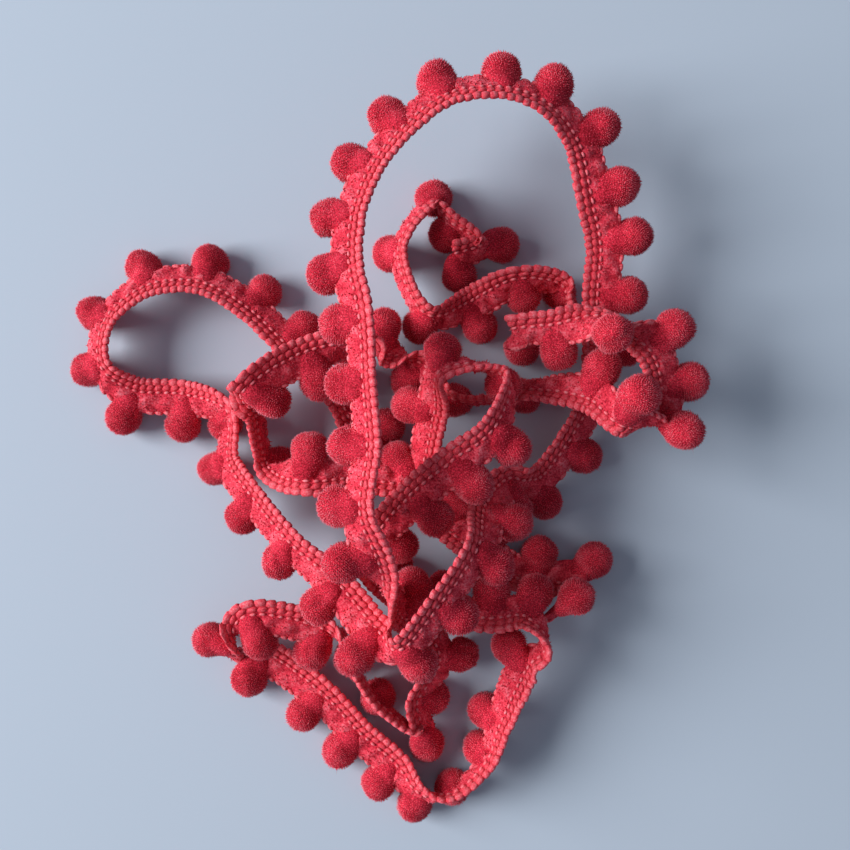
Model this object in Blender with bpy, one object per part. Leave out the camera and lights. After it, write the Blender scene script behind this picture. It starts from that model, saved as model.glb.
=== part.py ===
"""Pompom fringe trim in a loose heap: one knitted tape with a row of pompoms along one edge."""
import math

import bmesh
import bpy
import numpy as np

# Sizes in millimetres
TAPE_WIDTH = 8.2
TAPE_THICKNESS = 1.2
EDGE_CORD_THICKNESS = 1.8
EDGE_CORD_WIDTH = 0.8
POMPOM_RADIUS = 4.1
POMPOM_REACH = 2.0
EDGE_TRIM = 0.4
GAP = 0.9
NECK_INSET = 0.7
NECK_CLEARANCE = 1.6
NECK_RADIUS = 1.1
MM = 0.001

# Rings of a pompom as degrees from its top: the flat caps at both ends let it sit on the table
RING_ANGLES = (27, 58, 90, 122, 153)
RING_SIDES = 8
# Where along a neck its distance to the tape is measured
NECK_SHARES = (0.3, 0.4, 0.5, 0.6, 0.7)
# Stations of the tape between one row of the route and the next
STEPS_PER_ROW = 4
# Faces whose scores differ by less than this look the same way
TIE = 1e-4
# Pompoms whose underside is this near the table are set down on it
SETTLE = 1.0

# The route is read off a view from straight above: height of the eye over the table,
# points of the view to a millimetre on the table, and the point below the eye
EYE_HEIGHT = 200.0
POINTS_PER_MM = 4.4
VIEW_MIDDLE = 425.0

# Columns: x and y of the pompom in the view, height of its middle in millimetres, bearing of the
# fringe in degrees (0 right, 90 away, 180 left), drop of the fringe in degrees below level,
# 1 for a pompom or 0 for bare tape
ROUTE = (
    # Curl at the first cut end and the strand that leaves it
    (462, 275, 4.2, 295, 50, 1),
    (502, 252, 4.5, 345, 45, 1),
    (449, 237, 3.7, 250, 72, 1),
    (433, 198, 3.7, 100, 66, 1),
    (390, 254, 3.7, 175, 68, 1),
    (425, 329, 3.7, 250, 65, 1),
    (471, 330, 3.7, 275, 30, 1),
    (522, 296, 7, 285, 60, 1),
    (571, 305, 3.9, 305, 60, 1),
    # Fold down to the table and back up, under the next strand
    (563, 331, 3.7, 270, 86, 0),
    (535, 347, 3.7, 270, 86, 1),
    (521, 350, 13.5, 292, 50, 0),
    # Short strand over it
    (552, 353, 18.5, 270, 35, 1),
    (622, 335, 30, 275, -60, 1),
    # Turn at the right of the heap, fringe rolled over the top
    (679, 338, 24, 20, 10, 1),
    (689, 390, 19, 0, 20, 1),
    (690, 421, 21, 350, -20, 1),
    # Wide strand back to the left
    (635, 394, 28, 75, -30, 1),
    (603, 367, 20, 65, 0, 1),
    (534, 379, 9, 60, 60, 0),
    # Run on the table under the small top loop
    (513, 398, 3.7, 270, 86, 1),
    (455, 400, 3.7, 270, 86, 1),
    # Rise to the left, under the big loop
    (400, 372, 5, 200, 40, 1),
    (378, 325, 8.5, 100, 20, 1),
    (362, 352, 9, 230, 70, 1),
    # Strand left of the big loop and its turn
    (326, 378, 16, 305, 20, 1),
    (262, 407, 17, 300, 50, 1),
    (266, 412, 7.1, 340, 75, 1),
    (276, 456, 4.5, 35, 75, 1),
    # Strand back to the right, under the big loop
    (306, 449, 17, 90, 20, 1),
    (354, 449, 13.5, 90, 30, 1),
    (400, 457, 12, 120, 35, 1),
    # Small loop on top and its wide front band
    (410, 415, 12, 180, 40, 1),
    (436, 355, 19, 110, 55, 1),
    (504, 386, 18.5, 280, 72, 1),
    (512, 447, 25, 320, 35, 1),
    (475, 485, 27, 310, 15, 1),
    (432, 520, 24, 310, 15, 1),
    (388, 560, 16, 315, 45, 1),
    # Low loop on the table at the front
    (402, 578, 4, 30, 60, 1),
    (428, 612, 3.8, 30, 70, 1),
    (462, 650, 5, 10, 40, 1),
    (432, 700, 3.8, 340, 55, 1),
    (437, 738, 3.8, 320, 45, 1),
    (378, 697, 3.7, 180, 86, 1),
    (352, 660, 3.7, 200, 86, 1),
    (343, 632, 5, 270, 86, 0),
    # Left front strand and its turn
    (323, 652, 9.5, 272, 25, 1),
    (250, 643, 12, 268, 20, 1),
    (219, 650, 4, 200, 50, 1),
    (248, 677, 3.7, 240, 5, 1),
    # Front left edge of the heap
    (301, 710, 3.7, 222, 14, 1),
    (338, 748, 3.7, 222, 16, 1),
    (377, 780, 3.7, 225, 20, 1),
    (407, 799, 3.7, 235, 45, 1),
    (444, 790, 3.7, 230, 75, 1),
    # Front right edge of the heap
    (477, 753, 3.7, 195, 70, 1),
    (483, 721, 4.5, 190, 60, 1),
    (503, 663, 10, 185, 45, 1),
    (540, 642, 11, 180, 85, 0),
    # Fold back under the steep strand
    (526, 588, 11, 80, 40, 1),
    (489, 590, 11, 95, 40, 1),
    (447, 588, 10, 90, 50, 1),
    # Climb to the top of the heap
    (420, 590, 16.5, 60, 30, 1),
    (394, 585, 21, 60, 80, 0),
    # Big loop
    (346, 567, 32, 200, 20, 1),
    (338, 510, 33, 185, 45, 1),
    (348, 447, 33, 180, 50, 1),
    (345, 383, 33, 180, 52, 1),
    (339, 319, 33, 180, 48, 1),
    (326, 265, 31, 175, 42, 1),
    (330, 215, 29, 170, 42, 1),
    (352, 160, 27, 150, 42, 1),
    (390, 115, 26, 130, 42, 1),
    (440, 80, 25, 108, 42, 1),
    (500, 73, 24, 95, 42, 1),
    (558, 88, 23, 60, 35, 1),
    (602, 130, 21, 30, 22, 1),
    (621, 194, 20, 5, 15, 1),
    (633, 242, 17, 0, 5, 1),
    (628, 298, 13, 358, 10, 1),
    (625, 352, 7, 355, 15, 1),
    # Run under the two strands on the right
    (612, 405, 4, 350, 30, 1),
    (585, 455, 4, 330, 35, 1),
    (556, 493, 4, 325, 30, 1),
    (527, 484, 7, 350, 45, 1),
    # Steep strand down the front
    (515, 513, 17.5, 350, 20, 1),
    (498, 555, 24.5, 335, 42, 1),
    (461, 610, 27, 335, 42, 1),
    (413, 665, 26, 300, 40, 1),
    # Turn at the front
    (348, 645, 24, 205, 10, 1),
    (315, 600, 19, 215, 20, 1),
    # Long left strand
    (272, 550, 15, 205, 40, 1),
    (236, 502, 9, 200, 44, 1),
    (213, 463, 4, 185, 44, 1),
    (224, 421, 4, 220, 60, 1),
    # Left loop
    (183, 425, 4, 265, 10, 1),
    (125, 418, 4, 250, 15, 1),
    (88, 370, 4, 190, 43, 1),
    (95, 312, 4, 150, 43, 1),
    (143, 268, 4, 115, 38, 1),
    (207, 262, 4, 85, 38, 1),
    (262, 290, 4, 60, 40, 1),
    (303, 328, 5, 50, 40, 1),
    # Tail on the table to the second cut end
    (352, 378, 3.7, 50, 40, 1),
    (385, 425, 3.7, 45, 20, 1),
    (425, 462, 3.7, 45, 10, 1),
    (462, 500, 3.7, 45, 5, 1),
    (500, 530, 3.7, 50, 5, 1),
    (541, 553, 3.7, 75, 5, 1),
    (587, 554, 3.7, 60, 5, 1),
    (580, 592, 11.3, 45, -10, 1),
    (578, 588, 12.8, 45, -10, 0),
)

CORAL_TAPE = (0.62, 0.06, 0.07)
CORAL_PILE = (0.60, 0.02, 0.04)


def clear_scene():
    for old in list(bpy.data.objects):
        bpy.data.objects.remove(old, do_unlink=True)


def yarn(name, colour, roughness):
    material = bpy.data.materials.new(name)
    material.use_nodes = True
    shader = material.node_tree.nodes["Principled BSDF"]
    shader.inputs["Base Color"].default_value = (*colour, 1.0)
    shader.inputs["Roughness"].default_value = roughness
    shader.inputs["Metallic"].default_value = 0.0
    return material


def table_point(x, y, height):
    """A point of the view, at a known height, as millimetres on the table plan."""
    shrink = (EYE_HEIGHT - height) / (POINTS_PER_MM * EYE_HEIGHT)
    return np.array(((x - VIEW_MIDDLE) * shrink, (VIEW_MIDDLE - y) * shrink, height))


def fringe_way(bearing, drop):
    turn = math.radians(bearing)
    tilt = math.radians(drop)
    return np.array((math.cos(tilt) * math.cos(turn), math.cos(tilt) * math.sin(turn), -math.sin(tilt)))


def unit(vectors):
    return vectors / np.linalg.norm(vectors, axis=-1, keepdims=True)


def smooth_rows(rows, steps):
    """A smooth curve through the rows, with knots spaced by the root of the distance."""
    first = 2 * rows[0] - rows[1]
    last = 2 * rows[-1] - rows[-2]
    points = np.vstack((first, rows, last))
    strides = np.linalg.norm(np.diff(points[:, :3], axis=0), axis=1)
    knots = np.concatenate(((0.0,), np.cumsum(np.sqrt(strides))))
    curve = []
    for i in range(1, len(points) - 2):
        for step in range(steps):
            at = knots[i] + (knots[i + 1] - knots[i]) * step / steps

            def blend(low, high, start, end):
                share = (at - knots[start]) / (knots[end] - knots[start])
                return low + (high - low) * share

            a = blend(points[i - 1], points[i], i - 1, i)
            b = blend(points[i], points[i + 1], i, i + 1)
            c = blend(points[i + 1], points[i + 2], i + 1, i + 2)
            ab = blend(a, b, i - 1, i + 1)
            bc = blend(b, c, i, i + 2)
            curve.append(blend(ab, bc, i, i + 1))
    curve.append(points[-2])
    return np.array(curve)


def lay_route():
    """Stations of the tape (middle, fringe way, face way) and the middles of the pompoms."""
    arm = TAPE_WIDTH / 2 + POMPOM_REACH
    rows = []
    for x, y, height, bearing, drop, has_pompom in ROUTE:
        way = fringe_way(bearing, drop)
        middle = table_point(x, y, height) - way * arm
        rows.append(np.concatenate((middle, way * arm)))
    curve = smooth_rows(np.array(rows), STEPS_PER_ROW)
    middles = curve[:, :3]
    along = unit(np.gradient(middles, axis=0))
    ways = curve[:, 3:]
    ways = unit(ways - along * np.sum(ways * along, axis=1, keepdims=True))
    faces = np.cross(along, ways)
    pompoms = []
    sitting = POMPOM_RADIUS * math.cos(math.radians(RING_ANGLES[0]))
    for row, columns in enumerate(ROUTE):
        if columns[5]:
            station = row * STEPS_PER_ROW
            centre = middles[station] + ways[station] * arm
            if centre[2] < sitting + SETTLE:
                centre[2] = sitting
            pompoms.append(centre)
    return middles, ways, faces, pompoms


def outer_edge(middle, way, spots):
    """How far the tape reaches towards the fringe before it comes too near one of the spots."""
    reach = TAPE_WIDTH / 2 - EDGE_TRIM
    for centre, clearance in spots:
        offset = middle - centre
        if np.linalg.norm(offset) > 2 * TAPE_WIDTH:
            continue
        half = float(np.dot(offset, way))
        inside = half * half - float(np.dot(offset, offset)) + clearance ** 2
        if inside > 0 and -half > 0:
            reach = min(reach, -half - math.sqrt(inside))
    return reach


def add_tape(middles, ways, faces, spots):
    """The tape: a thicker cord at the free edge, and a scallop round each pompom."""
    half = TAPE_WIDTH / 2
    mesh = bmesh.new()
    rings = []
    for middle, way, face in zip(middles, ways, faces):
        outer = outer_edge(middle, way, spots)
        section = (
            (-half, EDGE_CORD_THICKNESS / 4),
            (-half, -EDGE_CORD_THICKNESS / 4),
            (-half + EDGE_CORD_WIDTH, -EDGE_CORD_THICKNESS / 2),
            (outer, -TAPE_THICKNESS / 2),
            (outer, TAPE_THICKNESS / 2),
            (-half + EDGE_CORD_WIDTH, EDGE_CORD_THICKNESS / 2),
        )
        rings.append([mesh.verts.new((middle + way * w + face * n) * MM) for w, n in section])
    for ring, following in zip(rings, rings[1:]):
        for side in range(len(ring)):
            other = (side + 1) % len(ring)
            mesh.faces.new((ring[side], ring[other], following[other], following[side]))
    mesh.faces.new(rings[0][::-1])
    mesh.faces.new(rings[-1])
    return finish(mesh, "heading_tape")


def add_ball(mesh, centre):
    rings = []
    for angle in RING_ANGLES:
        tilt = math.radians(angle)
        ring = []
        for side in range(RING_SIDES):
            turn = math.tau * side / RING_SIDES
            offset = np.array((math.sin(tilt) * math.cos(turn), math.sin(tilt) * math.sin(turn), math.cos(tilt)))
            ring.append(mesh.verts.new((centre + offset * POMPOM_RADIUS) * MM))
        rings.append(ring)
    for ring, following in zip(rings, rings[1:]):
        for side in range(RING_SIDES):
            other = (side + 1) % RING_SIDES
            mesh.faces.new((ring[side], following[side], following[other], ring[other]))
    mesh.faces.new(rings[0])
    mesh.faces.new(rings[-1][::-1])
    return rings


def facing(rings, towards):
    """The side face of a ball that looks most nearly along a direction, the lower of two alike."""
    best = None
    for ring, following in zip(rings, rings[1:]):
        for side in range(RING_SIDES):
            other = (side + 1) % RING_SIDES
            corners = (ring[side], following[side], following[other], ring[other])
            face = next(f for f in ring[side].link_faces if set(f.verts) == set(corners))
            score = face.normal.dot(towards)
            if best is None or score > best[0] - TIE:
                best = (score, face)
    return best[1]


def add_pompoms(name, centres):
    """Two neighbouring pompoms joined by a short neck of yarn, or one alone."""
    mesh = bmesh.new()
    balls = [add_ball(mesh, centre) for centre in centres]
    mesh.normal_update()
    if len(balls) == 2:
        line = unit(centres[1] - centres[0])
        ends = [facing(balls[0], line), facing(balls[1], -line)]
        bmesh.ops.inset_individual(mesh, faces=ends, thickness=NECK_INSET * MM, depth=0.0)
        bmesh.ops.bridge_loops(mesh, edges=[edge for end in ends for edge in end.edges])
        bmesh.ops.delete(mesh, geom=ends, context="FACES_ONLY")
    return finish(mesh, name)


def can_join(first, second, middles, ways, spots):
    """Whether a neck between two pompoms keeps clear of the tape."""
    for share in NECK_SHARES:
        point = first + (second - first) * share
        for middle, way in zip(middles, ways):
            if np.linalg.norm(point - middle) > TAPE_WIDTH:
                continue
            across = float(np.dot(point - middle, way))
            across = max(-TAPE_WIDTH / 2, min(across, outer_edge(middle, way, spots)))
            if np.linalg.norm(point - middle - way * across) < NECK_CLEARANCE:
                return False
    return True


def pair_up(pompoms, middles, ways):
    """Pompoms two by two where a neck can join them, and the spots that the tape keeps clear of."""
    spots = [(centre, POMPOM_RADIUS + GAP) for centre in pompoms]
    groups = []
    necks = []
    first = 0
    while first < len(pompoms):
        group = pompoms[first:first + 2]
        if len(group) == 2 and not can_join(group[0], group[1], middles, ways, spots):
            group = group[:1]
        if len(group) == 2:
            for share in NECK_SHARES:
                necks.append((group[0] + (group[1] - group[0]) * share, NECK_RADIUS + GAP))
        first += len(group)
        groups.append(group)
    return groups, spots + necks


def finish(mesh, name):
    bmesh.ops.recalc_face_normals(mesh, faces=mesh.faces)
    bmesh.ops.triangulate(mesh, faces=mesh.faces)
    for face in mesh.faces:
        face.smooth = True
    data = bpy.data.meshes.new(name)
    mesh.to_mesh(data)
    mesh.free()
    piece = bpy.data.objects.new(name, data)
    bpy.context.collection.objects.link(piece)
    return piece


def centre_plan(pieces):
    """Moves every piece so that the middle of the heap's outline is over the origin."""
    corners = np.array([vertex.co for piece in pieces for vertex in piece.data.vertices])
    centre = (corners.min(axis=0) + corners.max(axis=0)) / 2
    for piece in pieces:
        for vertex in piece.data.vertices:
            vertex.co.x -= centre[0]
            vertex.co.y -= centre[1]


def main():
    clear_scene()
    middles, ways, faces, pompoms = lay_route()
    groups, spots = pair_up(pompoms, middles, ways)
    heading = add_tape(middles, ways, faces, spots)
    heading.data.materials.append(yarn("coral_tape", CORAL_TAPE, 0.85))
    pieces = [heading]
    for number, group in enumerate(groups, start=1):
        piece = add_pompoms("pompoms_%02d" % number, group)
        piece.data.materials.append(yarn("coral_pile_%02d" % number, CORAL_PILE, 0.95))
        pieces.append(piece)
    centre_plan(pieces)


main()
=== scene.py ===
import math

import bmesh
import bpy
import numpy as np
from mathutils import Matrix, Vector


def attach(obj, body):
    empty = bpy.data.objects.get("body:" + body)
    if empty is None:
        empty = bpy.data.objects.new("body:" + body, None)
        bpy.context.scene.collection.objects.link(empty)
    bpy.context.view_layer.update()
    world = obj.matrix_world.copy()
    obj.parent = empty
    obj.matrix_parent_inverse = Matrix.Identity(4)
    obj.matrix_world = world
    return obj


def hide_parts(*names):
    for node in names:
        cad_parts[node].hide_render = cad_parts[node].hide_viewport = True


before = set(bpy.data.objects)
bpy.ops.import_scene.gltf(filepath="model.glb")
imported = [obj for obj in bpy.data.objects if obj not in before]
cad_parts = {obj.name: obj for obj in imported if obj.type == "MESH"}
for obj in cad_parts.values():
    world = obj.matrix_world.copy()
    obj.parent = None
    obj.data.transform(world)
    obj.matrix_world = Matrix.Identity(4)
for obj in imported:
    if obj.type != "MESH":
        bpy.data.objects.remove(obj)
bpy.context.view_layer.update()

print("frame loaded:", len(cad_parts), "CAD nodes")

mm = 0.001
rand = np.random.default_rng(20)

# The heap as it lies, read from straight above: the same numbers as in the CAD
heap = {
    "eyeHeight": 200.0,      # mm over the table
    "pointsPerMm": 4.4,      # on the table
    "viewMiddle": 425.0,
    "planShift": (10.410, 7.054),  # mm, puts the middle of the heap's outline over the origin
    "tapeWidth": 8.2,        # mm
    "pompomRadius": 4.1,     # mm, to the tips of the pile
    "pompomReach": 2.0,      # mm from the tape's edge to the middle of a pompom
    "sittingHeight": 3.653,  # mm, middle of a pompom that stands on the table
    "settle": 1.0,           # mm, a pompom as near as this to the table sinks on to it
    "stepsPerRow": 24,       # stations of the tape from row to row
    "solidSteps": 4,         # the CAD has fewer stations from row to row
}

# One row for each pompom: x and y in the view, height in mm, bearing and drop of the fringe in
# degrees, and 1 for a pompom or 0 for bare tape
route = [
    # Curl at the first cut end and the strand that leaves it
    (462, 275, 4.2, 295, 50, 1), (502, 252, 4.5, 345, 45, 1), (449, 237, 3.7, 250, 72, 1),
    (433, 198, 3.7, 100, 66, 1), (390, 254, 3.7, 175, 68, 1), (425, 329, 3.7, 250, 65, 1),
    (471, 330, 3.7, 275, 30, 1), (522, 296, 7, 285, 60, 1), (571, 305, 3.9, 305, 60, 1),
    # Fold down to the table and back up, under the next strand
    (563, 331, 3.7, 270, 86, 0), (535, 347, 3.7, 270, 86, 1), (521, 350, 13.5, 292, 50, 0),
    # Short strand over it
    (552, 353, 18.5, 270, 35, 1), (622, 335, 30, 275, -60, 1),
    # Turn at the right of the heap, fringe rolled over the top
    (679, 338, 24, 20, 10, 1), (689, 390, 19, 0, 20, 1), (690, 421, 21, 350, -20, 1),
    # Wide strand back to the left
    (635, 394, 28, 75, -30, 1), (603, 367, 20, 65, 0, 1), (534, 379, 9, 60, 60, 0),
    # Run on the table under the small top loop
    (513, 398, 3.7, 270, 86, 1), (455, 400, 3.7, 270, 86, 1),
    # Rise to the left, under the big loop
    (400, 372, 5, 200, 40, 1), (378, 325, 8.5, 100, 20, 1), (362, 352, 9, 230, 70, 1),
    # Strand left of the big loop and its turn
    (326, 378, 16, 305, 20, 1), (262, 407, 17, 300, 50, 1), (266, 412, 7.1, 340, 75, 1),
    (276, 456, 4.5, 35, 75, 1),
    # Strand back to the right, under the big loop
    (306, 449, 17, 90, 20, 1), (354, 449, 13.5, 90, 30, 1), (400, 457, 12, 120, 35, 1),
    # Small loop on top and its wide front band
    (410, 415, 12, 180, 40, 1), (436, 355, 19, 110, 55, 1), (504, 386, 18.5, 280, 72, 1),
    (512, 447, 25, 320, 35, 1), (475, 485, 27, 310, 15, 1), (432, 520, 24, 310, 15, 1),
    (388, 560, 16, 315, 45, 1),
    # Low loop on the table at the front
    (402, 578, 4, 30, 60, 1), (428, 612, 3.8, 30, 70, 1), (462, 650, 5, 10, 40, 1),
    (432, 700, 3.8, 340, 55, 1), (437, 738, 3.8, 320, 45, 1), (378, 697, 3.7, 180, 86, 1),
    (352, 660, 3.7, 200, 86, 1), (343, 632, 5, 270, 86, 0),
    # Left front strand and its turn
    (323, 652, 9.5, 272, 25, 1), (250, 643, 12, 268, 20, 1), (219, 650, 4, 200, 50, 1),
    (248, 677, 3.7, 240, 5, 1),
    # Front left edge of the heap
    (301, 710, 3.7, 222, 14, 1), (338, 748, 3.7, 222, 16, 1), (377, 780, 3.7, 225, 20, 1),
    (407, 799, 3.7, 235, 45, 1), (444, 790, 3.7, 230, 75, 1),
    # Front right edge of the heap
    (477, 753, 3.7, 195, 70, 1), (483, 721, 4.5, 190, 60, 1), (503, 663, 10, 185, 45, 1),
    (540, 642, 11, 180, 85, 0),
    # Fold back under the steep strand
    (526, 588, 11, 80, 40, 1), (489, 590, 11, 95, 40, 1), (447, 588, 10, 90, 50, 1),
    # Climb to the top of the heap
    (420, 590, 16.5, 60, 30, 1), (394, 585, 21, 60, 80, 0),
    # Big loop
    (346, 567, 32, 200, 20, 1), (338, 510, 33, 185, 45, 1), (348, 447, 33, 180, 50, 1),
    (345, 383, 33, 180, 52, 1), (339, 319, 33, 180, 48, 1), (326, 265, 31, 175, 42, 1),
    (330, 215, 29, 170, 42, 1), (352, 160, 27, 150, 42, 1), (390, 115, 26, 130, 42, 1),
    (440, 80, 25, 108, 42, 1), (500, 73, 24, 95, 42, 1), (558, 88, 23, 60, 35, 1),
    (602, 130, 21, 30, 22, 1), (621, 194, 20, 5, 15, 1), (633, 242, 17, 0, 5, 1),
    (628, 298, 13, 358, 10, 1), (625, 352, 7, 355, 15, 1),
    # Run under the two strands on the right
    (612, 405, 4, 350, 30, 1), (585, 455, 4, 330, 35, 1), (556, 493, 4, 325, 30, 1),
    (527, 484, 7, 350, 45, 1),
    # Steep strand down the front
    (515, 513, 17.5, 350, 20, 1), (498, 555, 24.5, 335, 42, 1), (461, 610, 27, 335, 42, 1),
    (413, 665, 26, 300, 40, 1),
    # Turn at the front
    (348, 645, 24, 205, 10, 1), (315, 600, 19, 215, 20, 1),
    # Long left strand
    (272, 550, 15, 205, 40, 1), (236, 502, 9, 200, 44, 1), (213, 463, 4, 185, 44, 1),
    (224, 421, 4, 220, 60, 1),
    # Left loop
    (183, 425, 4, 265, 10, 1), (125, 418, 4, 250, 15, 1), (88, 370, 4, 190, 43, 1),
    (95, 312, 4, 150, 43, 1), (143, 268, 4, 115, 38, 1), (207, 262, 4, 85, 38, 1), (262, 290, 4, 60, 40, 1),
    (303, 328, 5, 50, 40, 1),
    # Tail on the table to the second cut end
    (352, 378, 3.7, 50, 40, 1), (385, 425, 3.7, 45, 20, 1), (425, 462, 3.7, 45, 10, 1),
    (462, 500, 3.7, 45, 5, 1), (500, 530, 3.7, 50, 5, 1), (541, 553, 3.7, 75, 5, 1),
    (587, 554, 3.7, 60, 5, 1), (580, 592, 11.3, 45, -10, 1), (578, 588, 12.8, 45, -10, 0),
]


def toLinear(hexColour):  # sRGB hex to the linear values that the shader takes
    parts = [int(hexColour[i:i + 2], 16) / 255 for i in (1, 3, 5)]
    return tuple(c / 12.92 if c <= 0.04045 else ((c + 0.055) / 1.055) ** 2.4 for c in parts) + (1.0,)


def addNode(tree, kind, settings=None, links=None):  # one node with its settings and its links
    node = tree.nodes.new(kind)
    for name, value in (settings or {}).items():
        if name in node.inputs.keys() and not hasattr(node, name):
            node.inputs[name].default_value = value
        else:
            setattr(node, name, value)
    for name, source in (links or {}).items():
        tree.links.new(source, node.inputs[name])
    return node


def clearSelection():
    bpy.ops.object.select_all(action="DESELECT")


# The route of the tape


def unit(vectors):
    return vectors / np.linalg.norm(vectors, axis=-1, keepdims=True)


def fringeWay(bearing, drop):
    turn, tilt = math.radians(bearing), math.radians(drop)
    return np.array((math.cos(tilt) * math.cos(turn), math.cos(tilt) * math.sin(turn), -math.sin(tilt)))


def tablePoint(x, y, height):
    shrink = (heap["eyeHeight"] - height) / (heap["pointsPerMm"] * heap["eyeHeight"])
    middle = heap["viewMiddle"]
    return np.array(((x - middle) * shrink, (middle - y) * shrink, height))


def smoothRows(rows, steps):  # a smooth curve through the rows, with so many stations from row to row
    points = np.vstack((2 * rows[0] - rows[1], rows, 2 * rows[-1] - rows[-2]))
    strides = np.linalg.norm(np.diff(points[:, :3], axis=0), axis=1)
    knots = np.concatenate(((0.0,), np.cumsum(np.sqrt(strides))))
    curve = []
    for i in range(1, len(points) - 2):
        at = (knots[i] + (knots[i + 1] - knots[i]) * np.arange(steps) / steps)[:, None]

        def blend(low, high, start, end):
            return low + (high - low) * (at - knots[start]) / (knots[end] - knots[start])

        before = blend(points[i - 1], points[i], i - 1, i)
        between = blend(points[i], points[i + 1], i, i + 1)
        after = blend(points[i + 1], points[i + 2], i + 1, i + 2)
        arriving = blend(before, between, i - 1, i + 1)
        leaving = blend(between, after, i, i + 2)
        curve.append(blend(arriving, leaving, i, i + 1))
    return np.vstack(curve + [points[-2:-1]])


def layTape(steps):  # middles, directions, fringe ways and face ways of the tape, station by station
    arm = heap["tapeWidth"] / 2 + heap["pompomReach"]
    rows = []
    for x, y, height, bearing, drop, hasPompom in route:
        way = fringeWay(bearing, drop)
        rows.append(np.concatenate((tablePoint(x, y, height) - way * arm, way * arm)))
    curve = smoothRows(np.array(rows), steps)
    curve[:, :2] += heap["planShift"]
    along = unit(np.gradient(curve[:, :3], axis=0))
    ways = curve[:, 3:]
    ways = unit(ways - along * np.sum(ways * along, axis=1, keepdims=True))
    return curve[:, :3], along, ways, np.cross(along, ways)


def hangPompoms():  # middle and directions of each pompom, at the stations that the CAD has
    middles, along, ways, faces = layTape(heap["solidSteps"])
    hung = []
    for number, row in enumerate(route):
        if row[5]:
            k = number * heap["solidSteps"]
            middle = middles[k] + ways[k] * (heap["tapeWidth"] / 2 + heap["pompomReach"])
            if middle[2] < heap["sittingHeight"] + heap["settle"]:
                middle[2] = heap["sittingHeight"]
            hung.append((middle, np.array((-ways[k], along[k], -faces[k]))))
    return hung


middles, along, ways, faces = layTape(heap["stepsPerRow"])
pompoms = hangPompoms()
runs = np.concatenate(((0.0,), np.cumsum(np.linalg.norm(np.diff(middles, axis=0), axis=1))))
tapeLength = float(runs[-1])
pompomRuns = np.array([runs[k * heap["stepsPerRow"]] for k, row in enumerate(route) if row[5]])
print("route laid:", round(tapeLength), "mm of tape,", len(pompoms), "pompoms")


def onTape(run, across, out):  # points by their place along the tape, across from its middle and off its face
    inside = np.clip(run, 0.0, tapeLength).ravel()
    beyond = (run.ravel() - inside)[:, None]

    def between(table):
        return np.stack([np.interp(inside, runs, table[:, axis]) for axis in range(3)], axis=-1)

    points = between(middles) + between(along) * beyond
    points += unit(between(ways)) * across.ravel()[:, None]
    points += unit(between(faces)) * out.ravel()[:, None]
    return points.reshape(run.shape + (3,))


def offTable(points):  # nothing goes below the table, and what would is pressed flat on it
    least, softness = 0.06, 0.8  # mm
    pressed = least * np.exp((points[..., 2] - least) / softness)
    points[..., 2] = np.where(points[..., 2] < least, pressed, points[..., 2])
    return points


# the tip attribute carries painted light: low values give the dark, painted shade colour and high values the
# pale, painted sheen and highlight colour
def makePiece(name, points, triangles, material, tips):  # tips run from 0 in the depth to 1 at a fibre's end
    mesh = bpy.data.meshes.new(name)
    mesh.vertices.add(len(points))
    mesh.vertices.foreach_set("co", (points * mm).astype(np.float32).ravel())
    mesh.loops.add(triangles.size)
    mesh.loops.foreach_set("vertex_index", triangles.astype(np.int32).ravel())
    mesh.polygons.add(len(triangles))
    mesh.polygons.foreach_set("loop_start", np.arange(0, triangles.size, 3, dtype=np.int32))
    mesh.polygons.foreach_set("use_smooth", np.full(len(triangles), True))
    mesh.update(calc_edges=True)
    mesh.validate()
    mesh.attributes.new("tip", "FLOAT", "POINT").data.foreach_set("value", tips.astype(np.float32))
    mesh.materials.append(material)
    piece = bpy.data.objects.new(name, mesh)
    bpy.context.scene.collection.objects.link(piece)
    return piece


def takeShape(shape):  # points in mm and triangles of a modelled shape, which is then removed
    mesh = shape.data
    work = bmesh.new()
    work.from_mesh(mesh)
    bmesh.ops.remove_doubles(work, verts=work.verts, dist=1e-6)
    bmesh.ops.recalc_face_normals(work, faces=work.faces)
    bmesh.ops.triangulate(work, faces=work.faces)
    points = np.array([vertex.co[:] for vertex in work.verts]) / mm
    triangles = np.array([[vertex.index for vertex in face.verts] for face in work.faces])
    work.free()
    bpy.data.objects.remove(shape, do_unlink=True)
    bpy.data.meshes.remove(mesh)
    return points, triangles


# Cut acrylic chenille pile: millions of short fibre ends, so it scatters light softly. Its colour has
# painted shade, deep red between the tufts, and painted sheen, pink at the tips; it glows paler at a grazing
# angle
pile = {
    # root is the painted shade deep in the pile, tip the painted sheen on the fibre ends
    "root": "#94041c",
    "body": "#f2344f",
    "tip": "#ffa4b2",
    "tuftMm": 0.3,   # size of one tuft's own shade
    "cloudMm": 5.0,  # size of the slow drift from tuft to tuft
    "sheenTint": "#ff93a4",
}


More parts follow.
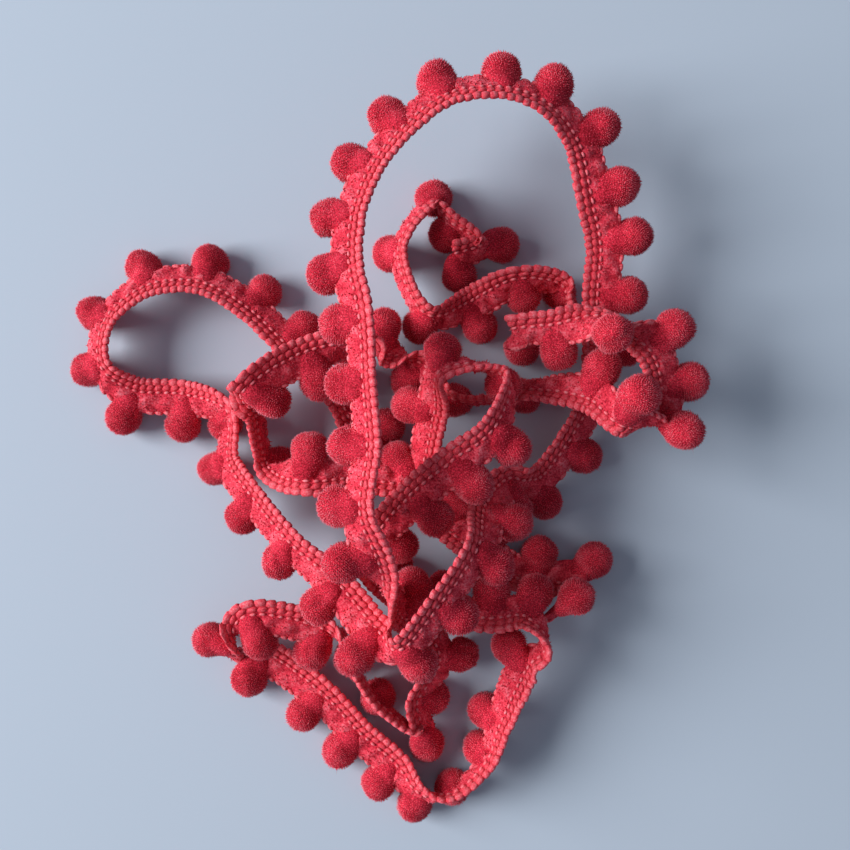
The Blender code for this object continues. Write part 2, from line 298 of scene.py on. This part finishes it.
def pileMaterial(name, look):
    material = bpy.data.materials.new(name)
    material.use_nodes = True
    tree = material.node_tree
    shader = tree.nodes["Principled BSDF"]
    place = addNode(tree, "ShaderNodeTexCoord").outputs["Object"]
    fine = {"Scale": 1 / (look["tuftMm"] * mm), "Detail": 3.0, "Roughness": 0.65}
    tufts = addNode(tree, "ShaderNodeTexNoise", fine, {"Vector": place}).outputs["Fac"]
    broad = {"Scale": 1 / (look["cloudMm"] * mm), "Detail": 2.0}
    cloud = addNode(tree, "ShaderNodeTexNoise", broad, {"Vector": place}).outputs["Fac"]
    # the tip attribute paints shade deep in the pile and sheen on the fibre ends, and the tuft noise, which
    # also raises the bump, paints shade into the hollows between the tufts
    tip = addNode(tree, "ShaderNodeAttribute", {"attribute_name": "tip"}).outputs["Fac"]
    hollowShadeRange = {"From Min": 0.35, "From Max": 0.65, "To Min": -0.22, "To Max": 0.22}
    hollowShade = addNode(tree, "ShaderNodeMapRange", hollowShadeRange, {"Value": tufts}).outputs["Result"]
    driftRange = {"From Min": 0.3, "From Max": 0.7, "To Min": -0.1, "To Max": 0.1}
    drift = addNode(tree, "ShaderNodeMapRange", driftRange, {"Value": cloud}).outputs["Result"]
    hollowShaded = addNode(tree, "ShaderNodeMath", {"operation": "ADD"}, {0: tip, 1: hollowShade})
    toned = addNode(tree, "ShaderNodeMath", {"operation": "ADD"}, {0: hollowShaded.outputs[0], 1: drift})
    ramp = addNode(tree, "ShaderNodeValToRGB", None, {"Fac": toned.outputs[0]})
    stops = ramp.color_ramp.elements
    stops[0].position, stops[0].color = 0.05, toLinear(look["root"])
    stops[1].position, stops[1].color = 0.95, toLinear(look["tip"])
    stops.new(0.42).color = toLinear(look["body"])
    tree.links.new(ramp.outputs["Color"], shader.inputs["Base Color"])
    bump = addNode(tree, "ShaderNodeBump", {"Strength": 0.6, "Distance": 0.25 * mm}, {"Height": tufts})
    tree.links.new(bump.outputs["Normal"], shader.inputs["Normal"])
    shader.inputs["Roughness"].default_value = 0.9
    shader.inputs["Specular IOR Level"].default_value = 0.25
    shader.inputs["Sheen Weight"].default_value = 0.15
    shader.inputs["Sheen Roughness"].default_value = 0.4
    shader.inputs["Sheen Tint"].default_value = toLinear(look["sheenTint"])
    return material


# Worsted acrylic yarn, two plies, in chain stitches: plumper and a little glossier than the pile,
# coral, with painted shade as thin dark lines between the plies
chainYarn = {
    "shade": "#a00c24",
    "body": "#ee4254",
    "light": "#ff9ca6",
    "plyMm": 0.42,    # size of the plies' own shade
    "fibreMm": 0.16,  # size of the fibres, in the bump alone
    "sheenTint": "#ffc2c4",
}


def yarnMaterial(name, look):
    material = bpy.data.materials.new(name)
    material.use_nodes = True
    tree = material.node_tree
    shader = tree.nodes["Principled BSDF"]
    place = addNode(tree, "ShaderNodeTexCoord").outputs["Object"]
    coarse = {"Scale": 1 / (look["plyMm"] * mm), "Detail": 2.0, "Roughness": 0.6}
    plies = addNode(tree, "ShaderNodeTexNoise", coarse, {"Vector": place}).outputs["Fac"]
    fine = {"Scale": 1 / (look["fibreMm"] * mm), "Detail": 1.0}
    fibres = addNode(tree, "ShaderNodeTexNoise", fine, {"Vector": place}).outputs["Fac"]
    # the tip attribute paints light on each stitch, and the ply noise, which also raises the bump, paints
    # shade into the grooves between the plies
    tip = addNode(tree, "ShaderNodeAttribute", {"attribute_name": "tip"}).outputs["Fac"]
    hollowShadeRange = {"From Min": 0.3, "From Max": 0.7, "To Min": -0.22, "To Max": 0.22}
    hollowShade = addNode(tree, "ShaderNodeMapRange", hollowShadeRange, {"Value": plies}).outputs["Result"]
    toned = addNode(tree, "ShaderNodeMath", {"operation": "ADD"}, {0: tip, 1: hollowShade})
    ramp = addNode(tree, "ShaderNodeValToRGB", None, {"Fac": toned.outputs[0]})
    stops = ramp.color_ramp.elements
    stops[0].position, stops[0].color = 0.05, toLinear(look["shade"])
    stops[1].position, stops[1].color = 1.0, toLinear(look["light"])
    stops.new(0.5).color = toLinear(look["body"])
    tree.links.new(ramp.outputs["Color"], shader.inputs["Base Color"])
    relief = addNode(tree, "ShaderNodeMath", {"operation": "ADD"}, {0: plies, 1: fibres}).outputs[0]
    bump = addNode(tree, "ShaderNodeBump", {"Strength": 0.5, "Distance": 0.15 * mm}, {"Height": relief})
    tree.links.new(bump.outputs["Normal"], shader.inputs["Normal"])
    shader.inputs["Roughness"].default_value = 0.72
    shader.inputs["Specular IOR Level"].default_value = 0.35
    shader.inputs["Sheen Weight"].default_value = 0.15
    shader.inputs["Sheen Roughness"].default_value = 0.45
    shader.inputs["Sheen Tint"].default_value = toLinear(look["sheenTint"])
    return material


# Pile yarn laid into the tape: the same fibres, pressed down and coarser, so less painted shade goes into
# its hollows and less painted sheen on its ends
laidIn = {**pile, "root": "#a60c26", "body": "#ec3a50", "tip": "#ff94a2", "tuftMm": 0.4}

cutAcrylicPile = pileMaterial("cutAcrylicPile", pile)
acrylicChainYarn = yarnMaterial("acrylicChainYarn", chainYarn)
laidInYarn = pileMaterial("laidInPileYarn", laidIn)
print("materials made")


# The tape: all places across it are in mm from its free edge
tape = {
    "station": 0.7,       # mm between two sections of the body
    "columns": (0.5, 1.0, 1.6, 2.3, 3.0, 3.5, 4.0, 4.6, 5.2, 5.8, 6.4, 7.0, 7.5, 7.9),
    "bandPlaces": (0.5, 1.6, 3.0, 6.6, 7.9),
    "bandHalves": (0.16, 0.36, 0.42, 0.45, 0.22),  # mm, half the band's thickness at those places
    "laidInFrom": 3.1,    # where the laid-in yarn starts
    "laidInRise": 1.0,    # mm over which it rises
    "laidInStop": 0.1,    # mm from the fringe edge
    "laidInFall": 1.2,    # mm over which it falls
    "puff": 0.42,         # mm that the laid-in yarn swells out of the band
    "lumpShare": 0.24,    # of the puff, for each wave of the lumps
    "lumpWaves": 8,
    "sideShift": 1.7,     # radians, so the lumps differ on the two faces
    "stitch": 1.8,        # mm, one chain stitch
    "uneven": 0.05,       # mm, how far a stitch strays
}
half = heap["tapeWidth"] / 2
lumps = []  # waves per mm along and across the tape, and where each one starts
for _ in range(tape["lumpWaves"]):
    lumps.append((rand.uniform(0.6, 2.6), rand.uniform(-1.6, 1.6), rand.uniform(0, 2 * math.pi)))


def nearestPompom(run):  # distance along the tape to the nearest pompom, in mm, with its sign
    index = np.clip(np.searchsorted(pompomRuns, run), 1, len(pompomRuns) - 1)
    before, after = run - pompomRuns[index - 1], run - pompomRuns[index]
    return np.where(np.abs(before) < np.abs(after), before, after)


def halfThickness(run, across, side):  # of the body, with the soft lumps of the laid-in yarn, in mm
    band = np.interp(across + half, tape["bandPlaces"], tape["bandHalves"])
    rise = np.clip((across + half - tape["laidInFrom"]) / tape["laidInRise"], 0, 1)
    fall = np.clip((half - tape["laidInStop"] - across) / tape["laidInFall"], 0, 1)
    shift = tape["sideShift"] * side
    wave = sum(np.sin(fast * run + slant * across + turn + shift) for fast, slant, turn in lumps)
    return band + rise * fall * tape["puff"] * (1 + tape["lumpShare"] * wave)


def tapeBody():
    count = int(tapeLength / tape["station"])
    run = np.linspace(0.0, tapeLength, count)[:, None]
    inset = np.array(tape["columns"]) - half
    across = np.concatenate((inset, inset[::-1]))[None, :]
    side = np.concatenate((np.ones(len(inset)), -np.ones(len(inset))))[None, :]
    out = side * halfThickness(run, across, side)
    grid = offTable(onTape(run + 0 * out, across + 0 * out, out))
    sides = across.shape[1]
    base = (np.arange(count - 1) * sides)[:, None]
    corner = np.arange(sides)[None, :]
    nextCorner = (corner + 1) % sides
    ahead = base + sides
    quads = np.stack((base + corner, base + nextCorner, ahead + nextCorner, ahead + corner), axis=-1)
    quads = quads.reshape(-1, 4)
    fan = np.array([(0, k + 1, k) for k in range(1, sides - 1)])
    last = (count - 1) * sides
    triangles = np.vstack((quads[:, (0, 1, 2)], quads[:, (0, 2, 3)], fan, last + fan[:, ::-1]))
    # painted shade: the hollows of the laid-in yarn are darker and its lumps paler
    tips = 0.26 + 0.3 * np.clip(np.abs(out) - 0.3, 0, 1)  # lumps are a little paler than hollows
    return makePiece("tapeBody", grid.reshape(-1, 3), triangles, laidInYarn, tips.ravel())


def copyFaces(triangles, count, pointCount):  # the same triangles for each of the copies
    return ((np.arange(count) * pointCount)[:, None, None] + triangles[None]).reshape(-1, 3)


def repeatOnTape(points, triangles, run, across, out, turn):  # copies of a shape, bent along the tape
    turned = points[:, 0] * math.cos(turn) - points[:, 1] * math.sin(turn)
    aside = points[:, 0] * math.sin(turn) + points[:, 1] * math.cos(turn)
    placed = onTape(run[:, None] + turned, across[:, None] + aside, out[:, None] + points[:, 2])
    return offTable(placed).reshape(-1, 3), copyFaces(triangles, len(run), len(points))


edgeStitch = {
    "middleIn": 0.72,       # from the free edge to the middle of the yarn's turn
    "turnRadius": 0.34,     # mm, middle line of the yarn round the edge
    "yarnRadius": 0.4,      # mm
    "legs": (0.5, 0.35),    # mm, the straight part of the legs and the part that dives into the tape
    "legSqueeze": 0.7,      # how narrow the legs end
    "legFlatten": 0.55,     # how flat the legs end
    "halfLength": 0.96,     # mm along the tape, so each stitch presses into the next
    "fullness": 0.6,        # under 1 makes the stitch a barrel, 1 leaves it round
    "flatness": 0.88,
    "slant": 0.25,          # radians
    # tips paint light on each stitch: a painted highlight along its middle, painted shade at its ends where
    # it presses into the next stitch
    "tips": (0.64, 0.34),   # at the middle of a stitch and at its ends
}


def wrapShape():  # an edge stitch: a loop of yarn that turns round the free edge
    clearSelection()
    bpy.ops.mesh.primitive_torus_add(
        major_radius=edgeStitch["turnRadius"] * mm,
        minor_radius=edgeStitch["yarnRadius"] * mm,
        major_segments=10,
        minor_segments=8,
        rotation=(0, math.pi / 2, 0),
    )
    shape = bpy.context.object
    bpy.ops.object.transform_apply(location=False, rotation=True, scale=False)
    bpy.ops.object.mode_set(mode="EDIT")
    work = bmesh.from_edit_mesh(shape.data)
    for vertex in work.verts:
        vertex.select_set(vertex.co.y > 0.01 * mm)
    work.select_flush(True)
    bpy.ops.mesh.delete(type="VERT")
    bpy.ops.mesh.select_all(action="SELECT")
    bpy.ops.mesh.region_to_loop()
    for leg in edgeStitch["legs"]:
        bpy.ops.mesh.extrude_region_move(TRANSFORM_OT_translate={"value": (0, leg * mm, 0)})
    work = bmesh.from_edit_mesh(shape.data)
    for vertex in work.verts:
        if vertex.select:  # the ends dive into the tape
            vertex.co.z *= edgeStitch["legFlatten"]
            vertex.co.x *= edgeStitch["legSqueeze"]
    bmesh.update_edit_mesh(shape.data)
    bpy.ops.mesh.edge_face_add()
    bpy.ops.object.mode_set(mode="OBJECT")
    return takeShape(shape)


def grainShape(length, width, height):  # a plump leg of a stitch
    clearSelection()
    lying = (0, math.pi / 2, 0)
    bpy.ops.mesh.primitive_uv_sphere_add(segments=6, ring_count=5, radius=0.5 * mm, rotation=lying)
    shape = bpy.context.object
    bpy.ops.transform.resize(value=(length, width, height))
    bpy.ops.object.transform_apply(location=False, rotation=True, scale=True)
    return takeShape(shape)


def edgeChain():
    points, triangles = wrapShape()
    ends = (np.abs(points[:, 0]) / np.abs(points[:, 0]).max()) ** edgeStitch["fullness"]
    points[:, 0] = np.sign(points[:, 0]) * edgeStitch["halfLength"] * ends
    points[:, 2] *= edgeStitch["flatness"]
    count = int(tapeLength / tape["stitch"])
    run = (np.arange(count) + 0.5) * tape["stitch"] + rand.normal(0, tape["uneven"], count)
    across = -half + edgeStitch["middleIn"] + rand.normal(0, 0.06, count)
    out = rand.normal(0, 0.04, count)
    placed, copies = repeatOnTape(points, triangles, run, across, out, edgeStitch["slant"])
    # painted highlight in the middle of each stitch, painted shade towards its ends
    bright, dull = edgeStitch["tips"]
    tips = np.tile(bright - (bright - dull) * ends ** 4, count)
    return makePiece("edgeChain", placed, copies, acrylicChainYarn, tips)


# In each row, tips paint light on the legs: painted shade at a leg's ends and a painted highlight at its
# middle
secondColumn = {
    "place": 2.15,
    "size": (2.0, 1.35, 0.8),  # mm, length, width and height of one leg
    "off": 0.42,               # mm from the tape's middle to the middle of a leg
    "slant": 0.35,             # radians
    "tips": (0.3, 0.52),       # at a leg's ends and at its middle
    "clear": 0.0,              # mm from the middle of a pompom along the tape, with no stitch
}
raisedLine = {
    "place": 3.15,
    "size": (1.3, 0.66, 0.7),
    "off": 0.6,
    "slant": 0.1,
    "tips": (0.45, 0.8),
    "clear": 0.0,
}
outerLine = {
    "place": heap["tapeWidth"] - 0.5,
    "size": (1.8, 1.0, 0.9),
    "off": 0.42,
    "slant": -0.2,
    "tips": (0.35, 0.75),
    "clear": 2.6,
}


def chainRow(name, look):  # a row of stitch legs on both faces of the tape
    points, triangles = grainShape(*look["size"])
    count = int(tapeLength / tape["stitch"])
    run = (np.arange(count) + 0.25) * tape["stitch"]
    run = run[np.abs(nearestPompom(run)) >= look["clear"]]
    faceLayers = []
    for side in (-1, 1):
        jitter = rand.normal(0, tape["uneven"], len(run))
        across = look["place"] - half + rand.normal(0, tape["uneven"], len(run))
        out = side * look["off"] + rand.normal(0, 0.03, len(run))
        faceLayers.append(repeatOnTape(points, triangles, run + jitter, across, out, look["slant"] * side))
    (below, belowFaces), (above, aboveFaces) = faceLayers
    # painted shade towards the ends of each leg, painted highlight at its middle
    spread = np.abs(points[:, 0]) / np.abs(points[:, 0]).max()
    dull, bright = look["tips"]
    tips = np.tile(bright - (bright - dull) * spread ** 2, 2 * len(run))
    bothFaces = np.vstack((belowFaces, aboveFaces + len(below)))
    return makePiece(name, np.vstack((below, above)), bothFaces, acrylicChainYarn, tips)


def spikeShape():  # one fibre end or tuft, 1 mm wide and 1 mm tall, with its root at the origin
    clearSelection()
    size = 1.0 * mm
    halfUp = (0, 0, size / 2)
    bpy.ops.mesh.primitive_cone_add(vertices=3, radius1=size / 2, radius2=0.0, depth=size, location=halfUp)
    bpy.ops.object.transform_apply(location=True, rotation=False, scale=False)
    return takeShape(bpy.context.object)


fuzzLook = {
    "ends": 19000,
    "from": 3.4,            # mm from the free edge
    "stop": 0.25,           # mm from the fringe edge
    "sink": 0.1,            # mm that the roots sit in the body
    "tall": (0.35, 0.8),    # mm
    "width": 0.34,          # mm
    "lean": 0.28,           # mm that the tips lean over
    # rootTip and paler paint light: painted shade at the fibres' roots, painted sheen towards their ends
    "rootTip": 0.32,        # how pale the roots are
    "paler": (0.25, 0.5),   # how much paler the ends are
}


def tapeFuzz():  # short fibre ends all over the laid-in yarn
    points, triangles = spike
    count = fuzzLook["ends"]
    run = rand.uniform(0, tapeLength, count)
    across = rand.uniform(-half + fuzzLook["from"], half - fuzzLook["stop"], count)
    side = rand.choice((-1.0, 1.0), count)
    out = side * (halfThickness(run, across, side) - fuzzLook["sink"])
    tall = rand.uniform(*fuzzLook["tall"], count)
    lean = rand.normal(0, fuzzLook["lean"], (count, 2))
    rise = points[None, :, 2]  # 0 at the root, 1 at the end
    ahead = points[None, :, 0] * fuzzLook["width"] + lean[:, :1] * rise
    aside = points[None, :, 1] * fuzzLook["width"] + lean[:, 1:] * rise
    up = side[:, None] * tall[:, None] * rise
    placed = offTable(onTape(run[:, None] + ahead, across[:, None] + aside, out[:, None] + up))
    copies = copyFaces(triangles, count, len(points)).reshape(count, -1, 3)
    copies[side < 0] = copies[side < 0][:, :, ::-1]  # on the lower face they are mirrored
    # painted shade at the roots, painted sheen towards the ends
    tips = (fuzzLook["rootTip"] + rand.uniform(*fuzzLook["paler"], count)[:, None] * rise).ravel()
    return makePiece("tapeFuzz", placed.reshape(-1, 3), copies.reshape(-1, 3), laidInYarn, tips)


spike = spikeShape()
body = tapeBody()
edge = edgeChain()
second = chainRow("secondChain", secondColumn)
raised = chainRow("raisedChain", raisedLine)
outer = chainRow("outerChain", outerLine)
fuzz = tapeFuzz()
print("tape made")


# The pompoms
pompom = {
    "ball": 3.72,             # mm, radius of the surface that the pile stands on
    "root": (4.6, 3.3, 2.1),  # mm, half sizes of the part that runs on to the tape
    "rootPlace": 2.5,         # mm from the ball's middle towards the tape
    "blend": 8,               # a high power keeps the crease between ball and root short
    "broadDepth": 0.035,      # of the radius, for the slow and the quick unevenness
    "shortDepth": 0.02,
    "dentDepth": 0.055,       # of the radius
    "dentSpread": 0.035,
    "stray": 0.012,           # how far the roots of the tufts stray from an even spread
    "tilt": 0.26,             # how far the tufts lean out of line
    "fadeFrom": 0.35,         # towards the tape the pile is shorter: where that starts, and
    "fadeOver": 0.5,          # over how much of the way, both as the outward direction's own x,
    "fadeBy": 0.6,            # and how much of the length is gone in the end
    "sink": 0.12,             # mm that a tuft's root sits in the ball
    # painted light: painted shade on the ball under the pile and at the roots of the tufts, painted sheen at
    # the tuft ends
    "shellTip": 0.22,         # how pale the ball is under the pile
    "rootTip": 0.3,           # how pale the roots of the tufts are
    "endTips": (0.66, 0.98),  # how pale their ends are
}
tuftLook = {
    "count": 960,
    "length": 0.5,   # mm
    "width": 0.3,    # mm
    "spread": 0.35,  # of the length
}
hairLook = {
    "count": 10,
    "length": 1.1,
    "width": 0.09,
    "spread": 0.5,
}


def ballShape():
    clearSelection()
    bpy.ops.mesh.primitive_ico_sphere_add(subdivisions=4, radius=1.0 * mm)
    return takeShape(bpy.context.object)


def evenWays(count):  # directions spread evenly round a ball
    k = np.arange(count) + 0.5
    z = 1 - 2 * k / count
    turn = k * math.pi * (3 - math.sqrt(5))
    flat = np.sqrt(1 - z * z)
    return np.stack((flat * np.cos(turn), flat * np.sin(turn), z), axis=-1)


def reachOut(outward, seed):  # mm from the ball's middle to its surface; x is towards the tape, y along it
    reach, wide, deep = pompom["root"]
    place = pompom["rootPlace"]
    # Where a line from the middle of the ball leaves the root, which is an egg beside that middle
    square = (outward[:, 0] / reach) ** 2 + (outward[:, 1] / wide) ** 2 + (outward[:, 2] / deep) ** 2
    slope = -2 * outward[:, 0] * place / reach ** 2
    start = (place / reach) ** 2 - 1
    rootReach = (-slope + np.sqrt(np.maximum(slope * slope - 4 * square * start, 0))) / (2 * square)
    wobble = pompom["broadDepth"] * np.sin(outward @ seed["broadWave"] + seed["phase"])
    wobble += pompom["shortDepth"] * np.sin(outward @ seed["shortWave"])
    for dent in seed["dents"]:  # where the pile parts a little
        wobble -= pompom["dentDepth"] * np.exp((outward @ dent - 1) / pompom["dentSpread"])
    wobble += (outward ** 2) @ seed["squash"]
    power = pompom["blend"]
    ballReach = pompom["ball"] * seed["size"]
    return (ballReach ** power + rootReach ** power) ** (1 / power) * (1 + wobble)


def surfaceNormals(outward, here, seed):  # the surface's own outward direction, from two short steps aside
    step = 0.03
    sideways = unit(np.cross(outward, np.roll(outward, 1, axis=1) + (0.3, 0.1, 0.2)))
    strides = []
    for side in (sideways, np.cross(outward, sideways)):
        there = unit(outward + side * step)
        strides.append(there * reachOut(there, seed)[:, None] - here)
    normal = unit(np.cross(*strides))
    return normal * np.sign(np.sum(normal * outward, axis=1, keepdims=True))


def spreadPile(middle, frame3, seed, look):  # tufts or hairs all round one pompom
    count = look["count"]
    spin, _ = np.linalg.qr(rand.normal(0, 1, (3, 3)))
    outward = unit(evenWays(count) @ spin + rand.normal(0, pompom["stray"], (count, 3)))
    here = outward * reachOut(outward, seed)[:, None]
    normal = surfaceNormals(outward, here, seed)
    lean = unit(normal + seed["comb"] + rand.normal(0, pompom["tilt"], (count, 3)))
    fade = 1 - pompom["fadeBy"] * np.clip((outward[:, 0] - pompom["fadeFrom"]) / pompom["fadeOver"], 0, 1)
    tall = look["length"] * fade * (1 + rand.uniform(-look["spread"], look["spread"], count))
    flank = unit(np.cross(lean, rand.normal(0, 1, (count, 3))))
    front = np.cross(lean, flank)
    wide = look["width"] * (1 + rand.uniform(-0.25, 0.25, count))
    points, triangles = spike
    placed = (
        here[:, None] - lean[:, None] * pompom["sink"]
        + points[None, :, 0, None] * wide[:, None, None] * flank[:, None]
        + points[None, :, 1, None] * wide[:, None, None] * front[:, None]
        + points[None, :, 2, None] * (tall + pompom["sink"])[:, None, None] * lean[:, None]
    )
    # painted shade at the roots of the tufts, painted sheen at their ends
    endTips = rand.uniform(*pompom["endTips"], count)[:, None]
    tips = pompom["rootTip"] + (endTips - pompom["rootTip"]) * points[None, :, 2]
    return middle + placed.reshape(-1, 3) @ frame3, copyFaces(triangles, count, len(points)), tips.ravel()


def onePompom(number):  # the ball with its root, the pile on it and a few stray hairs
    middle, frame3 = pompoms[number]
    seed = {
        "size": rand.uniform(0.95, 1.04),
        "squash": rand.normal(0, 0.02, 3),
        "dents": unit(rand.normal(0, 1, (3, 3))),
        "broadWave": rand.normal(0, 2.2, 3),
        "shortWave": rand.normal(0, 4.0, 3),
        "phase": rand.uniform(0, 6.28),
        "comb": rand.normal(0, 0.12, 3),
    }
    points, triangles = ball
    shell = middle + (points * reachOut(points, seed)[:, None]) @ frame3
    # the ball under the pile carries painted shade
    layers = [(shell, triangles, np.full(len(points), pompom["shellTip"]))]
    for look in (tuftLook, hairLook):
        layers.append(spreadPile(middle, frame3, seed, look))
    return layers


def joinLayers(layers):
    points, triangles, tips = [], [], []
    first = 0
    for layerPoints, layerTriangles, layerTips in layers:
        points.append(layerPoints)
        triangles.append(layerTriangles + first)
        tips.append(layerTips)
        first += len(layerPoints)
    return offTable(np.vstack(points)), np.vstack(triangles), np.concatenate(tips)


def nodeOf(middle):  # the CAD solid with the most points one radius from this middle
    def hits(name):
        distances = np.linalg.norm(solidPoints[name] - middle, axis=1)
        return np.sum(np.abs(distances - heap["pompomRadius"]) < 0.02)

    return max(solidPoints, key=hits)


ball = ballShape()
solidPoints = {}
for name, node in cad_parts.items():
    if name != "heading_tape":
        corners = np.empty(len(node.data.vertices) * 3, np.float32)
        node.data.vertices.foreach_get("co", corners)
        solidPoints[name] = np.unique(corners.reshape(-1, 3).round(6), axis=0) / mm
onSolid = {}
for number, (middle, _) in enumerate(pompoms):
    onSolid.setdefault(nodeOf(middle), []).append(number)
made = []
for name in sorted(onSolid):
    layers = []
    for number in onSolid[name]:
        layers += onePompom(number)
    points, triangles, tips = joinLayers(layers)
    piece = makePiece("pile" + name[0].upper() + name[1:], points, triangles, cutAcrylicPile, tips)
    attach(piece, "root")
    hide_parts(name)
    made.append(piece)
print("pompoms made:", len(made), "pieces for", len(solidPoints), "solids")

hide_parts("heading_tape")
stitches = [edge, second, raised, outer, fuzz]
for piece in [body] + stitches:
    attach(piece, "root")


# Floor, light and camera
stage = {
    "floor": "#c0cddd",
    "sky": "#cdd8e8",
    "skyStrength": 0.28,
    "window": (-1.4, 0.16, 0.86),  # metres, a soft window at the left
    "windowSize": 1.0,             # metres
    "windowPower": 38.0,           # watts
    "lens": 37.27,                 # mm, shows as many points to a mm as the route was read with
}


# Flat matt paint: no gloss, so it takes soft shadows and shows no reflections
def plainFloor():
    clearSelection()
    bpy.ops.mesh.primitive_plane_add(size=3.0)
    floor = bpy.context.object
    floor.name = "floor"
    material = bpy.data.materials.new("mattPaint")
    material.use_nodes = True
    shader = material.node_tree.nodes["Principled BSDF"]
    shader.inputs["Base Color"].default_value = toLinear(stage["floor"])
    shader.inputs["Roughness"].default_value = 0.85
    floor.data.materials.append(material)


def lights():
    world = bpy.data.worlds.new("softSky")
    world.use_nodes = True
    back = world.node_tree.nodes["Background"]
    back.inputs["Color"].default_value = toLinear(stage["sky"])
    back.inputs["Strength"].default_value = stage["skyStrength"]
    bpy.context.scene.world = world
    light = bpy.data.lights.new("window", "AREA")
    light.size = stage["windowSize"]
    light.energy = stage["windowPower"]
    lamp = bpy.data.objects.new("window", light)
    lamp.location = stage["window"]
    lamp.rotation_euler = (-Vector(stage["window"])).to_track_quat("-Z", "Y").to_euler()
    bpy.context.scene.collection.objects.link(lamp)


def camera():
    data = bpy.data.cameras.new("camera")
    data.lens = stage["lens"]
    data.clip_start = 0.01
    eye = bpy.data.objects.new("camera", data)
    eye.location = [place * mm for place in heap["planShift"] + (heap["eyeHeight"],)]
    bpy.context.scene.collection.objects.link(eye)
    bpy.context.scene.camera = eye


plainFloor()
lights()
camera()
bpy.context.scene.view_settings.view_transform = "Standard"
print("stage set")
counts = [len(piece.data.polygons) for piece in made + [body] + stitches]
print("triangles:", sum(counts), "largest piece", max(counts))
